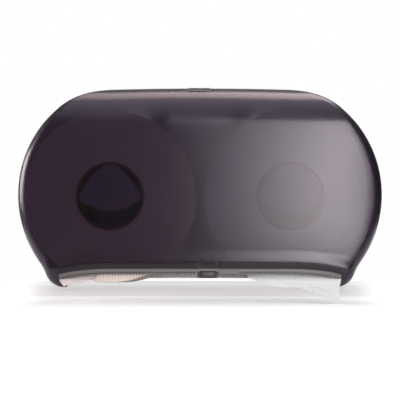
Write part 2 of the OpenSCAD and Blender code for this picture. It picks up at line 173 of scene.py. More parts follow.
def smoked_polycarbonate(tree, place, settings):
    """Moulded smoked polycarbonate with a satin face: clear to what is close behind it, hazy to what is further."""
    # spark-eroded grain of 0.1 mm, drawn at 1.1 mm so that it shows as a fine sparkle in the gloss
    grain = add(tree, "TexNoise", {"Vector": place, "Scale": 900.0, "Detail": 1.0})
    satin = add(tree, "MapRange", {"Value": grain, "From Min": 0.3, "From Max": 0.7,
                                   "To Min": settings.satin - 0.015, "To Max": settings.satin + 0.015})
    bump = add(tree, "Bump", {"Height": grain, "Strength": 0.3, "Distance": 0.00004})
    # flow of the pigment from the mould's gate, in clouds some 120 mm wide
    flow = add(tree, "TexNoise", {"Vector": place, "Scale": 8.0, "Detail": 1.0})
    pigment = add(tree, "Mix", tones(flow, settings.smoke, 0.92, 1.08), data_type="RGBA")
    wall = add(tree, "BsdfPrincipled", {
        "Base Color": pigment, "Roughness": satin, "Normal": bump, "IOR": 1.585, "Transmission Weight": 0.995,
        "Specular Tint": [1.0, 0.93, 0.95, 1]})
    # lamps and scattered light reach the rolls straight through the wall
    path = add(tree, "LightPath").outputs
    lamps = add(tree, "Math", {0: path["Is Shadow Ray"], 1: path["Is Diffuse Ray"]}, operation="MAXIMUM")
    through = add(tree, "BsdfTransparent", {"Color": [*map(math.sqrt, settings.smoke), 1]})
    both = add(tree, "MixShader", {0: lamps, 1: wall, 2: through})
    add(tree, "OutputMaterial", {"Surface": both})


def smoke_grey_styrene(tree, place, settings):
    """Moulded smoke grey styrene: satin, almost opaque, with a faint grain."""
    # grain of 0.2 mm, drawn at 1.2 mm
    grain = add(tree, "TexNoise", {"Vector": place, "Scale": 800.0})
    plain = add(tree, "Mix", tones(grain, settings.tint, 0.85, 1.15), data_type="RGBA")
    # above the lip the front is painted a dark tone: painted shade on the strip that lies behind the bead
    bonded = add(tree, "Attribute", attribute_name="bonded").outputs["Fac"]
    base = add(tree, "Mix", {0: bonded, 6: plain, 7: linear("40373c") + [1]}, data_type="RGBA")
    satin = add(tree, "MapRange", {"Value": grain, "To Min": 0.3, "To Max": 0.5})
    surface(tree, grain, 0.4, 0.00004, {"Base Color": base, "Roughness": satin, "IOR": 1.59})


def moulded_abs(tree, place, rgb, rough, second=None, mask=None):
    """Moulded ABS: even colour with slight flow clouds and a spark-eroded grain, and perhaps a second colour."""
    # grain of 0.2 mm, drawn at 0.9 mm
    grain = add(tree, "TexNoise", {"Vector": place, "Scale": 1100.0})
    flow = add(tree, "TexNoise", {"Vector": place, "Scale": 30.0})
    base = add(tree, "Mix", tones(flow, rgb, 0.88, 1.1), data_type="RGBA")
    if mask:
        base = add(tree, "Mix", {0: mask(tree, place), 6: base, 7: linear(second) + [1]}, data_type="RGBA")
    satin = add(tree, "MapRange", {"Value": grain, "From Min": 0.3, "From Max": 0.7, "To Min": rough - 0.07,
                                   "To Max": rough + 0.07})
    surface(tree, grain, 0.5, 0.00008, {"Base Color": base, "Roughness": satin, "IOR": 1.53})


def zinc_plated_steel(tree, place, rgb):
    """Zinc plated steel: bright, with fine drawn scratches along X."""
    drawn = add(tree, "Mapping", {"Vector": place, "Scale": (0.08, 1, 1)})
    # scratches of 0.1 mm, drawn at 0.6 mm
    lines = add(tree, "TexNoise", {"Vector": drawn, "Scale": 1600.0})
    base = add(tree, "Mix", tones(lines, rgb, 0.8, 1.05), data_type="RGBA")
    gloss = add(tree, "MapRange", {"Value": lines, "To Min": 0.25, "To Max": 0.45})
    surface(tree, lines, 0.4, 0.00003, {"Base Color": base, "Roughness": gloss, "Metallic": 1.0})


def spiral_wound_card(tree, place, rgb):
    """Spiral wound grey-brown card: short fibres, and a dark seam that climbs across the core."""
    # fibres of 1 to 2 mm
    fibres = add(tree, "TexNoise", {"Vector": place, "Scale": 650.0, "Detail": 4.0, "Roughness": 0.6})
    turned = add(tree, "Mapping", {"Vector": place, "Rotation": (0.0, 0.0, 0.6)})
    seam = add(tree, "TexWave", {"Vector": turned, "Scale": 4.5, "Distortion": 0.3}).outputs["Fac"]
    thin = add(tree, "MapRange", {"Value": seam, "From Min": 0.97, "From Max": 1.0, "To Max": 0.5})
    card = add(tree, "Mix", tones(fibres, rgb, 0.7, 1.1), data_type="RGBA")
    base = add(tree, "Mix", {0: thin, 6: card, 7: [c * 0.4 for c in rgb] + [1]}, data_type="RGBA")
    surface(tree, fibres, 0.6, 0.0002, {"Base Color": base, "Roughness": 0.9})


def wound_tissue(tree, place, rgb):
    """Side and face of a wound tissue roll: soft pulp with stray fibres and faint uneven turns."""
    # loose fibres of about 1.5 mm
    fibres = add(tree, "TexNoise", {"Vector": place, "Scale": 700.0, "Detail": 4.0, "Roughness": 0.65})
    clouds = add(tree, "TexNoise", {"Vector": place, "Scale": 45.0})
    base = add(tree, "Mix", tones(clouds, rgb, 0.88, 1.03), data_type="RGBA")
    surface(tree, fibres, 0.5, 0.0003, {"Base Color": base, "Roughness": 0.95})


def embossed_tissue(tree, place, rgb):
    """Two-ply tissue sheet: thin and soft, pressed with small dimples, with creases and stray fibres."""
    # pressed dimples 3 mm apart
    dimples = add(tree, "TexVoronoi", {"Vector": place, "Scale": 330.0, "Randomness": 0.35})
    press = add(tree, "MapRange", {"Value": dimples, "From Min": 0.1, "From Max": 0.45})
    fibres = add(tree, "TexNoise", {"Vector": place, "Scale": 900.0, "Detail": 4.0, "Roughness": 0.65})
    creases = add(tree, "TexNoise", {"Vector": place, "Scale": 60.0, "Detail": 3.0})
    height = add(tree, "Math", {0: creases, 1: 4.0, 2: press}, operation="MULTIPLY_ADD")
    # the colour is darker at the dimples' middles: painted shade in the pressed hollows
    base = add(tree, "Mix", tones(press, rgb, 0.86, 1.04), data_type="RGBA")
    bump = add(tree, "Bump", {"Height": height, "Strength": 0.6, "Distance": 0.0003})
    fine = add(tree, "Bump", {"Height": fibres, "Strength": 0.3, "Distance": 0.0002, "Normal": bump})
    shader = add(tree, "BsdfPrincipled", {"Base Color": base, "Roughness": 0.95, "Normal": fine})
    add(tree, "OutputMaterial", {"Surface": shader})


# how the floor's painted shadow fades along y: from 1 at the first place to a share at the second, in metres
PAINTED_SHADOW_STEPS = ((0.5, 1.8, 0.56), (0.14, -0.03, 0.55), (-0.05, -0.13, 1.25), (-0.18, -0.29, 0.0))


def matt_white_floor(tree, place, settings):
    """Matt white painted floor: scatters softly, and is white where the camera or a gloss sees it.

    Near the dispenser the camera sees it dimmer: a painted shadow over the real shadow that the lamps cast.
    """
    # roller texture of 4 mm
    grain = add(tree, "TexNoise", {"Vector": place, "Scale": 250.0, "Detail": 3.0})
    tint = add(tree, "Mix", tones(grain, settings.floor, 0.985, 1.0), data_type="RGBA")
    paint = add(tree, "BsdfDiffuse", {"Color": tint})
    path = add(tree, "LightPath").outputs
    gloss = add(tree, "Math", {0: path["Is Glossy Ray"], 1: path["Is Transmission Ray"]}, operation="MAXIMUM")
    axes = add(tree, "SeparateXYZ", {0: place}).outputs
    behind = add(tree, "MapRange", {"Value": axes["Y"], "From Max": 0.4})
    shine = add(tree, "Math", {0: gloss, 1: behind}, operation="MULTIPLY")
    seen = add(tree, "Math", {0: path["Is Camera Ray"], 1: shine}, operation="MAXIMUM")
    # the painted shadow widens to the back, from 0.4 m across below the front of the dispenser
    side = add(tree, "Math", {0: axes["X"]}, operation="ABSOLUTE")
    past = add(tree, "Math", {0: axes["Y"], 1: 0.13}, operation="ADD")
    spread = add(tree, "Math", {0: past, 1: 0.0}, operation="MAXIMUM")
    wide = add(tree, "Math", {0: spread, 1: 0.36, 2: 0.2}, operation="MULTIPLY_ADD")
    ratio = add(tree, "Math", {0: side, 1: wide}, operation="DIVIDE")
    painted_shadow = add(tree, "MapRange", {"Value": ratio, "From Min": 0.97, "From Max": 1.5, "To Min": 1.0, "To Max": 0.0},
               interpolation_type="SMOOTHSTEP")
    for near, end, low in PAINTED_SHADOW_STEPS:
        fall = add(tree, "MapRange", {"Value": axes["Y"], "From Min": near, "From Max": end,
                                      "To Min": 1.0, "To Max": low})
        painted_shadow = add(tree, "Math", {0: painted_shadow, 1: fall}, operation="MULTIPLY")
    # inside the painted shadow the camera's white falls to the glow setting
    level = add(tree, "Math", {0: painted_shadow, 1: settings.glow - 1, 2: 1.0}, operation="MULTIPLY_ADD")
    power = add(tree, "Math", {0: level, 1: seen}, operation="MULTIPLY")
    glow = add(tree, "Emission", {"Strength": power})
    add(tree, "OutputMaterial", {"Surface": add(tree, "AddShader", {0: paint, 1: glow})})


def white_surroundings(tree):
    """A white backdrop behind the dispenser, in a room that is dim in front of it and paler overhead."""
    path = add(tree, "LightPath").outputs
    gloss = add(tree, "Math", {0: path["Is Glossy Ray"], 1: path["Is Transmission Ray"]}, operation="MAXIMUM")
    toward = add(tree, "SeparateXYZ", {0: add(tree, "TexCoord").outputs["Generated"]}).outputs
    back = add(tree, "MapRange", {"Value": toward["Y"], "From Min": 0.58, "From Max": 0.97, "To Min": 0.012})
    above = add(tree, "MapRange", {"Value": toward["Z"], "From Min": 0.4, "From Max": 0.9,
                                   "To Min": 0.012, "To Max": 0.15})
    room = add(tree, "Math", {0: back, 1: above}, operation="MAXIMUM")
    level = add(tree, "Mix", {0: gloss, 2: 0.18, 3: room})
    level = add(tree, "Mix", {0: path["Is Camera Ray"], 2: level, 3: 1.0})
    sky = add(tree, "Background", {"Color": [1, 1, 1, 1], "Strength": level})
    add(tree, "OutputWorld", {"Surface": sky})


# ---------- mesh helpers ----------


def mesh_object(name, verts, faces, material):
    """A mesh in metres from points in millimetres."""
    mesh = bpy.data.meshes.new(name)
    mesh.from_pydata([[c * MM for c in p] for p in verts], [], [list(map(int, f)) for f in faces])
    mesh.validate()
    made = bpy.data.objects.new(name, mesh)
    bpy.context.scene.collection.objects.link(made)
    mesh.materials.append(material)
    return made


def shade(obj, angle):
    """Shades a mesh smooth, except at edges sharper than that angle in degrees."""
    obj.data.shade_smooth()
    obj.data.set_sharp_from_angle(angle=math.radians(angle))


def outward(obj, merge=0.000001):
    """Merges doubles and turns the normals of a closed mesh outwards."""
    work = bmesh.new()
    work.from_mesh(obj.data)
    bmesh.ops.remove_doubles(work, verts=work.verts, dist=merge)
    bmesh.ops.recalc_face_normals(work, faces=work.faces)
    work.to_mesh(obj.data)
    work.free()


def solid(name, verts, faces, material, angle, merge=0.000001):
    """A closed mesh from points in millimetres, its normals outward, shaded smooth up to an angle."""
    made = mesh_object(name, verts, faces, material)
    outward(made, merge)
    shade(made, angle)
    return made


def apply_modifiers(obj):
    """Turns what the modifiers make into the piece's own plain mesh."""
    bpy.context.view_layer.update()
    made = bpy.data.meshes.new_from_object(obj.evaluated_get(bpy.context.evaluated_depsgraph_get()))
    obj.modifiers.clear()
    obj.data = made


def grid_faces(rows, cols, base=0, close_cols=False, close_rows=False):
    """Quads of a grid of points stored row by row from an index on, its ends joined where asked."""
    faces = []
    for i in range(rows if close_rows else rows - 1):
        for j in range(cols if close_cols else cols - 1):
            a = base + i * cols + j
            b = base + i * cols + (j + 1) % cols
            c = base + ((i + 1) % rows) * cols + (j + 1) % cols
            d = base + ((i + 1) % rows) * cols + j
            faces.append([a, b, c, d])
    return faces


def revolve(name, profile, centre, material, angle, steps=128):
    """Closed ring from (radius, y) points turned about the y axis through centre = (x, z)."""
    verts = []
    for i in range(steps):
        a = 2 * math.pi * i / steps
        verts += [[centre[0] + r * math.cos(a), y, centre[1] + r * math.sin(a)] for r, y in profile]
    return solid(name, verts, grid_faces(steps, len(profile), close_cols=True, close_rows=True), material, angle)


def ring_faces(rings, k):
    """Faces of a closed solid through that many rings of k points each."""
    return grid_faces(rings, k, close_cols=True) + [list(range(k)), list(range((rings - 1) * k, rings * k))]


def loft(name, rings, material, angle=35):
    """Closed solid through rings of equally many points, each a list of (x, y, z) in millimetres."""
    points = [p for ring in rings for p in ring]
    return solid(name, points, ring_faces(len(rings), len(rings[0])), material, angle)


def node_group(name, **sockets):
    """A geometry node group with those inputs, and the outputs of its input node."""
    tree = bpy.data.node_groups.new(name, "GeometryNodeTree")
    for label, kind in sockets.items():
        tree.interface.new_socket(label, in_out="INPUT", socket_type="NodeSocket" + kind)
    tree.interface.new_socket("Geometry", in_out="OUTPUT", socket_type="NodeSocketGeometry")
    return tree, add(tree, "NodeGroupInput").outputs


def end_group(tree, geometry, material):
    """Ends a geometry node group with real copies, all of one material."""
    real = add(tree, "GeometryNodeRealizeInstances", {"Geometry": geometry})
    done = add(tree, "GeometryNodeSetMaterial", {"Geometry": real, "Material": material})
    add(tree, "NodeGroupOutput", {"Geometry": done})


def run_group(obj, tree, **values):
    """Runs a node group on an object, its inputs set by their identifiers, and keeps the mesh that it makes."""
    mod = obj.modifiers.new(tree.name, "NODES")
    mod.node_group = tree
    for item in tree.interface.items_tree:
        if item.item_type == "SOCKET" and item.in_out == "INPUT" and item.name in values:
            mod[item.identifier] = values[item.name]
    apply_modifiers(obj)


def repaint(material, *nodes):
    """Gives CAD nodes' own meshes a material."""
    for node in nodes:
        mesh = NODES[node].data
        mesh.materials.clear()
        mesh.materials.append(material)


# ---------- cover ----------

# millimetres: the sides are arcs of SIDE_R about x = SIDE_CX, and above FACE_TOP the face curves back with TOP_R
SIDE_R, SIDE_CX, DEPTH, FACE_TOP, TOP_R = 152.1, 86.8, 133.0, 91.7, 69.2
# the upper corners' radius and where it starts, and how much wider the sides are at the wall
CORNER_R, CORNER_A, DRAFT = 121.8, math.radians(39.1), 5.0
# the necks below the side arcs, and the feet that curl in to FOOT_IN
FOOT_END, NECK_R, NECK_A, NECK_LEN, FOOT_R, FOOT_IN = math.radians(35.5), 70.0, math.radians(22.5), 3.0, 25.0, 181.5
# the lip is level out to LIP_FLAT, and falls by LIP_DROP at the feet
LIP_Z, LIP_DROP, LIP_FLAT = -96.8, 7.5, 100.0
TOP_Z = FACE_TOP + TOP_R
FOOT_XN = SIDE_CX + (SIDE_R + NECK_R) * math.cos(FOOT_END)
FOOT_ZN = -(SIDE_R + NECK_R) * math.sin(FOOT_END)
FOOT_X = FOOT_XN - (NECK_R + FOOT_R) * math.cos(NECK_A) - NECK_LEN * math.sin(NECK_A)
FOOT_Z = FOOT_ZN + (NECK_R + FOOT_R) * math.sin(NECK_A) - NECK_LEN * math.cos(NECK_A)
CORNER_ZC = TOP_Z - CORNER_R
CORNER_XC = (SIDE_CX + SIDE_R * math.cos(CORNER_A) - CORNER_R * math.cos(CORNER_A)
             - (CORNER_ZC + CORNER_R * math.sin(CORNER_A) - SIDE_R * math.sin(CORNER_A)) * math.tan(CORNER_A))


def upper_half(z, t):
    """Half width of the cover above its flat face, t inwards from the outer skin."""
    r = SIDE_R - t
    if z <= r * math.sin(CORNER_A):
        return SIDE_CX + math.sqrt(r ** 2 - z * z)
    if z <= CORNER_ZC + (CORNER_R - t) * math.sin(CORNER_A):
        return SIDE_CX + r * math.cos(CORNER_A) - (z - r * math.sin(CORNER_A)) * math.tan(CORNER_A)
    return CORNER_XC + math.sqrt(max(0, (CORNER_R - t) ** 2 - (z - CORNER_ZC) ** 2))


def outline(t):
    """Points (height, half width) of the cover from its foot to its top, t inwards."""
    low = math.asin(FACE_TOP / (SIDE_R - t))
    first = math.radians(24)
    points = [(FOOT_Z - (FOOT_R - t) * math.sin(a), FOOT_X + (FOOT_R - t) * math.cos(a))
              for a in np.linspace(math.pi / 2, NECK_A, 14)]
    points += [(FOOT_ZN + (NECK_R + t) * math.sin(a), FOOT_XN - (NECK_R + t) * math.cos(a))
               for a in np.linspace(NECK_A, FOOT_END, 12)[:-1]]
    side = [*np.linspace(-FOOT_END, -first, 26)[:-1], *np.linspace(-first, low, 42)]
    points += [((SIDE_R - t) * math.sin(a), SIDE_CX + (SIDE_R - t) * math.cos(a)) for a in side]
    for a in np.linspace(0, math.pi / 2, 30)[1:]:
        z = FACE_TOP + (TOP_R - t) * math.sin(a)
        points.append((z, upper_half(z, t)))
    return points


def lip(x):
    """Height of the lip's lower edge."""
    return LIP_Z - LIP_DROP * (np.maximum(0, np.abs(x) - LIP_FLAT) / (FOOT_IN - LIP_FLAT)) ** 3


def swell(s):
    """Share of the bead's swell at s millimetres above the lip: it rises to 9 mm and fades out at 24 mm."""
    if s < 0:
        return max(0, 0.45 * (1 + s / 14))
    if s < 9:
        return 0.45 + 0.55 * math.sin(math.radians(10 * s))
    return 0.5 + 0.5 * math.cos(math.radians(12 * (s - 9))) if s < 24 else 0


def cover_row(z, half, t, edge, bead):
    """One level of a skin of the cover, from its left rear edge to its right one."""
    r = edge - t
    face = -DEPTH + t if z <= FACE_TOP else (
        -DEPTH + TOP_R - math.sqrt(max(0, (TOP_R - t) ** 2 - (z - FACE_TOP) ** 2)))
    # the sides end 4 mm in front of the wall, and at the top 9 mm
    rear = -4 - 5 * min(1, max(0, (z - 136) / 10))
    right = [(u, face - bead * swell(z - lip(u)), z) for u in np.linspace(0, half - r, 26)[:-1]]
    for a in np.linspace(0, math.pi / 2, 12):
        u = half - r + r * math.sin(a)
        right.append((u, face + r * (1 - math.cos(a)) - bead * swell(z - lip(u)) * math.cos(a), z))
    start = right[-1][1]
    right += [(half + DRAFT * f, start + (rear - start) * f, z) for f in (0.33, 0.67, 1.0)]
    return [(-x, y, z) for x, y, z in right[:0:-1]] + right


def crowned(points, crown):
    """Lets the top fall a little towards the corners."""
    p = np.array(points)
    p[:, 2] -= crown * (np.minimum(np.abs(p[:, 0]), 130) / 114) ** 2 * np.clip((p[:, 2] - 20) / 80, 0, 1)
    return p


class DISPENSER_OT_cover(bpy.types.Operator):
    """Moulds the smoked cover: domed top, swollen lip, drawn-in necks and two curled hollow feet"""

    bl_idname = "dispenser.cover"
    bl_label = "Smoked cover"

    def execute(self, context):
        s = context.scene.cover
        wall, edge, bead = s.wall / MM, s.edge / MM, s.bead / MM
        outer = [cover_row(z, x, 0, edge, bead) for z, x in outline(0)]
        inner = [cover_row(z, x, wall, edge, bead) for z, x in outline(wall)]
        rows, cols = len(outer), len(outer[0])
        points = crowned([p for row in outer + inner for p in row], s.crown / MM)
        n = rows * cols
        faces = [f[::-1] for f in grid_faces(rows, cols)] + grid_faces(rows, cols, n)
        for j in range(cols - 1):
            faces.append([j, n + j, n + j + 1, j + 1])
        for i in range(rows - 1):
            for c in (0, cols - 1):
                a, b = i * cols + c, (i + 1) * cols + c
                faces.append([a, b, n + b, n + a] if c else [b, a, n + a, n + b])
        last = (rows - 1) * cols
        mid = cols // 2
        for base in (last, n + last):
            strip = [[base + j, base + j + 1, base + cols - 2 - j, base + cols - 1 - j] for j in range(mid - 1)]
            strip.append([base + mid - 1, base + mid, base + mid + 1])
            faces += strip if base == last else [f[::-1] for f in strip]
        faces.append([last, last + cols - 1, n + last + cols - 1, n + last])
        skin = finish(smoked_polycarbonate, s)
        shell = mesh_object("cover_shell", points, faces, skin)
        outward(shell)
        xs = np.linspace(-FOOT_IN, FOOT_IN, 121)
        # the mouth narrows a little at the tips of the feet, and the feet are shorter behind
        tips = [(FOOT_IN, -109.5), (FOOT_X, -121.5), (FOOT_X, -160)]
        mouth = [(x, lip(x)) for x in xs] + tips + [(-x, z) for x, z in tips[::-1]]
        cutters = [[[(x, y, z) for x, z in mouth] for y in (-180, 20)]]
        heel = [(-104, -121), (-78, -115.5), (10, -115.5), (10, -130), (-104, -130)]
        cutters.append([[(x, y, z) for y, z in heel] for x in (-260, 260)])
        for rings in cutters:
            cutter = loft("cutter", rings, skin)
            cut = shell.modifiers.new("cut", "BOOLEAN")
            cut.operation, cut.object, cut.solver = "DIFFERENCE", cutter, "MANIFOLD"
            apply_modifiers(shell)
            bpy.data.objects.remove(cutter)
        shade(shell, 40)
        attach(shell, "cover")
        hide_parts("front_cover")
        return {"FINISHED"}


# ---------- tear bars ----------


def tooth_tree():
    """Geometry nodes: teeth along the lip's curve, joined to the strip that carries them."""
    tree, given = node_group("teeth_along_lip", Strip="Geometry", Start="Float", Count="Int", Pitch="Float",
                             Height="Float", Tooth="Object", Material="Material")
    line = add(tree, "GeometryNodeMeshLine", {"Count": given["Count"]}, mode="OFFSET")
    index = add(tree, "GeometryNodeInputIndex")
    along = add(tree, "Math", {0: index, 1: given["Pitch"], 2: given["Start"]}, operation="MULTIPLY_ADD")
    far = add(tree, "Math", {0: along}, operation="ABSOLUTE")
    bent = add(tree, "MapRange", {"Value": far, "From Min": LIP_FLAT * MM, "From Max": FOOT_IN * MM})
    cube = add(tree, "Math", {0: bent, 1: 3.0}, operation="POWER")
    drop = add(tree, "Math", {0: cube, 1: -LIP_DROP * MM, 2: given["Height"]}, operation="MULTIPLY_ADD")
    spot = add(tree, "CombineXYZ", {"X": along, "Z": drop})
    placed = add(tree, "GeometryNodeSetPosition", {"Geometry": line, "Position": spot})
    tooth = add(tree, "GeometryNodeObjectInfo", {"Object": given["Tooth"]}).outputs["Geometry"]
    copies = add(tree, "GeometryNodeInstanceOnPoints", {"Points": placed, "Instance": tooth})
    joined = add(tree, "GeometryNodeJoinGeometry", {0: copies})
    tree.links.new(given["Strip"], joined.inputs[0])
    end_group(tree, joined, given["Material"])
    return tree


# front and back of the bars, and how far they reach below and above the lip
BAR_Y0, BAR_Y1, BAR_SHOW, BAR_UP = -130.0, -128.0, 8.6, 9.0
STATIONS = 72
# CAD node, both ends of the strip and both ends of its teeth
BARS = {
    "left_bar": ("left_tear_bar", -181.0, -3.5, -181.0, -5.0),
    "right_bar": ("right_tear_bar", 23.5, 181.0, 50.0, 181.0),
}


class DISPENSER_OT_bars(bpy.types.Operator):
    """Makes the two tear bars, a strip that follows the lip with a row of teeth along its lower edge"""

    bl_idname = "dispenser.bars"
    bl_label = "Tear bars"

    def execute(self, context):
        s = context.scene.bars
        plastic = finish(smoke_grey_styrene, s)
        pitch, high = s.pitch / MM, s.tooth / MM
        half = pitch / 2
        wedge = [(-half, BAR_Y1, 0), (-half, BAR_Y0, 0), (half, BAR_Y0, 0), (half, BAR_Y1, 0),
                 (0, BAR_Y0 + 0.2, -high), (0, BAR_Y1 - 0.8, -high), (-half, BAR_Y1, 1), (-half, BAR_Y0, 1),
                 (half, BAR_Y0, 1), (half, BAR_Y1, 1)]
        tooth = mesh_object("tooth", wedge, [[0, 1, 4, 5], [3, 5, 4, 2], [1, 2, 4], [0, 5, 3], [6, 9, 8, 7],
                                             [0, 6, 7, 1], [1, 7, 8, 2], [2, 8, 9, 3], [3, 9, 6, 0]], plastic)
        outward(tooth)
        tree = tooth_tree()
        for name, (node, x0, x1, t0, t1) in BARS.items():
            xs = np.linspace(x0, x1, STATIONS)
            low, up = lip(xs) - BAR_SHOW + high, lip(xs) + BAR_UP
            ring = []
            for x, a, b in zip(xs, low, up):
                # a shallow groove runs along the front of the strip, and a ledge along its top reaches forward to the
                # cover
                ring += [(x, y, z) for y, z in (
                    (BAR_Y0, a), (BAR_Y0, a + 1.9), (BAR_Y0 + 0.35, a + 2.2), (BAR_Y0 + 0.35, a + 2.6),
                    (BAR_Y0, a + 2.9), (BAR_Y0, b - BAR_UP - 0.2), (BAR_Y0, b - BAR_UP + 0.4), (BAR_Y0, b - 2.5),
                    (BAR_Y0 - 1.4, b - 2.5), (BAR_Y0 - 1.4, b), (BAR_Y1, b), (BAR_Y1, a))]
            bar = mesh_object(name, ring, ring_faces(STATIONS, len(ring) // STATIONS), plastic)
            outward(bar)
            # 1 on the strip's front above the lip, where the painted shade goes
            painted_shade_values = bar.data.attributes.new("bonded", "FLOAT", "POINT").data
            for point, value in zip(bar.data.vertices, painted_shade_values):
                x, y, z = (c / MM for c in point.co)
                value.value = float(z > lip(x) + 0.2 and y < BAR_Y1 - 0.5)
            run_group(bar, tree, Start=(t0 + half) * MM, Count=int((t1 - t0) / pitch), Pitch=s.pitch, Tooth=tooth,
                      Height=(LIP_Z - BAR_SHOW + high) * MM, Material=plastic)
            shade(bar, 30)
            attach(bar, "cover")
            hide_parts(node)
        bpy.data.objects.remove(tooth)
        return {"FINISHED"}


# ---------- lock and clip ----------

# millimetres: the middle and the back of the lock plate
LOCK_X, LOCK_Z, PLATE_BACK = 10.0, -104.0, -130.2
# the clip's upper edge, and its arches' middles, feet, tops and half width
CLIP_EDGE, ARCH_X, ARCH_FOOT, ARCH_TOP, ARCH_HALF = 148.5, (-7.6, 9.1), 139.0, 149.0, 5.5


def behind_plate(tree, place):
    """1 on the guide behind the lock plate, which is moulded in the bar's grey."""
    depth = add(tree, "SeparateXYZ", {0: place}).outputs["Y"]
    return add(tree, "Math", {0: depth, 1: PLATE_BACK * MM}, operation="GREATER_THAN")


def arch_lines(tree, place):
    """1 on the two dark arches of the top clip and on its upper edge."""
    axes = add(tree, "SeparateXYZ", {0: place}).outputs
    up = add(tree, "MapRange", {"Value": axes["Z"], "From Min": ARCH_FOOT * MM, "From Max": ARCH_TOP * MM}, clamp=False)
    found = add(tree, "Math", {0: axes["Z"], 1: CLIP_EDGE * MM}, operation="GREATER_THAN")
    for x in ARCH_X:
        side = add(tree, "MapRange", {"Value": axes["X"], "From Min": x * MM, "From Max": (x + ARCH_HALF) * MM},
                   clamp=False)
        spot = add(tree, "CombineXYZ", {"X": side, "Z": up})
        reach = add(tree, "VectorMath", {0: spot}, operation="LENGTH")
        line = add(tree, "Math", {0: reach, 1: 0.8, 2: 0.22}, operation="COMPARE")
        found = add(tree, "Math", {0: found, 1: line}, operation="MAXIMUM")
    return found


class DISPENSER_OT_lock(bpy.types.Operator):
    """Paints the lock plate and the low clip on the top curve, and makes the raised grip on the lock plate's front"""

    bl_idname = "dispenser.lock"
    bl_label = "Lock plate and top clip"

    def execute(self, context):
        tint = context.scene.unit.dark
        repaint(finish(moulded_abs, tint, 0.42, "8f8b89", behind_plate, name="lock_abs"), "lock_housing")
        repaint(finish(moulded_abs, linear("524c50"), 0.4, "2e2a2d", arch_lines, name="clip_abs"), "top_clip")
        # depth, width and height of the raised grip
        grip = []
        for y, w, h in ((-135.1, 15.3, 6.0), (-135.6, 14.6, 5.2), (-135.9, 12.6, 3.2)):
            corners = ((-w, -h), (w, -h), (w, h), (-w, h))
            grip.append([(LOCK_X + x / 2, y, LOCK_Z + z / 2) for x, z in corners])
        pad = loft("lock_grip", grip, finish(moulded_abs, linear("4d484e"), 0.38, name="grip_abs"))
        edge = pad.modifiers.new("edge", "BEVEL")
        edge.width, edge.segments, edge.limit_method, edge.angle_limit = 0.0003, 2, "ANGLE", math.radians(35)
        apply_modifiers(pad)
        shade(pad, 35)
        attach(pad, "cover")
        return {"FINISHED"}


# ---------- hubs and rolls ----------

# millimetres: the rolls' middles and ends, and the radii of core, roll and soft edge
HUB_X, ROLL_Z, ROLL_Y0, ROLL_Y1 = 118.5, -1.0, -29.0, -118.0
CORE_IN, CORE_OUT, ROLL_R, SOFT = 42.5, 45.0, 113.5, 1.7
# (x, z, radius) of the discs inside which a hub's outline lies
HUB_ARCS = ((0, 0.3, 40.9), (0, 39.1, 60.0), (-45.2, -37.0, 93.3), (45.2, -37.0, 93.3))


def hub_ring(t, steps=120):
    """Rounded triangle of the hub, apex up, t inwards."""
    ring = []
    for a in np.linspace(0, 2 * math.pi, steps, endpoint=False):
        dx, dz = math.cos(a), math.sin(a)
        reach = []
        for cx, cz, r in HUB_ARCS:
            b = dx * cx + dz * (cz - 10)
            reach.append(b + math.sqrt(b * b - (cx * cx + (cz - 10) ** 2 - (r - t) ** 2)))
        d = min(reach)
        ring.append((d * dx, 10 + d * dz))
    return ring


class DISPENSER_OT_hubs(bpy.types.Operator):
    """Makes the two hubs, hollow rounded triangles with a rounded nose"""

    bl_idname = "dispenser.hubs"
    bl_label = "Hubs"

    def execute(self, context):
        violet = finish(moulded_abs, context.scene.unit.hub, 0.45, name="violet_grey_abs")
        # depth, and how far in the outline lies there: straight sides, a rounded nose and a sunk middle
        levels = [(-28.7, 0.0), (-60, 0.0), (-90, 0.0), (-116.6, 0.0)]
        levels += [(-116.6 - 3.4 * math.sin(a), 3.4 * (1 - math.cos(a))) for a in np.linspace(0.2, math.pi / 2, 8)]
        levels += [(-120, 6), (-119.3, 7.2), (-119.3, 12), (-119.3, 20)]
        for side, name in ((-1, "left_hub"), (1, "right_hub")):
            rings = [[(side * HUB_X + x, y, z) for x, z in hub_ring(t)] for y, t in levels]
            hub = loft(name + "_cap", rings, violet, 45)
            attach(hub, "wall_unit")
            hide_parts(name)
            repaint(violet, name + "_base")
        return {"FINISHED"}


